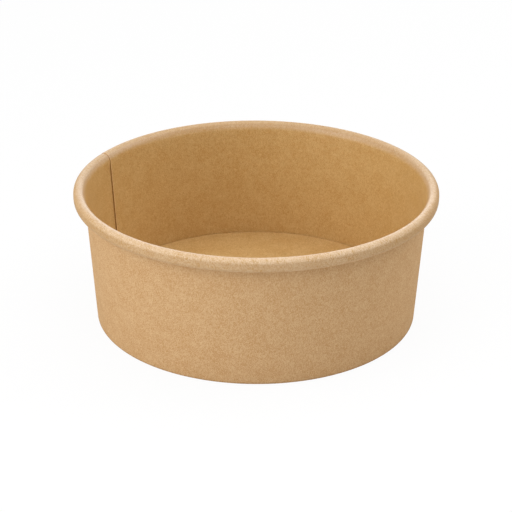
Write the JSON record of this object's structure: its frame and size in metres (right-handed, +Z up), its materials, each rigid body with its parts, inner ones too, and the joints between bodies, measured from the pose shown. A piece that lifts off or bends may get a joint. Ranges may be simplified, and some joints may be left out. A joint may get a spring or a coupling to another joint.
{
  "type": "kraft salad bowl",
  "caption": "Round kraft paperboard food bowl with sloping sides, a rolled rim, a glued side seam and a base disc held in a folded foot.",
  "frame": {"origin": "centre of the foot, on the table", "axes": "+Z up along the bowl's axis, -Y towards the viewer of the picture"},
  "size_m": [0.15, 0.15, 0.057],
  "materials": {
    "kraft_wall": "matt brown kraft board, coated on the inside and on the roll",
    "kraft_base": "satin coated brown kraft board"
  },
  "bodies": {
    "root": {"side_wall": "kraft_wall", "base_disc": "kraft_base"}
  },
  "joints": []
}
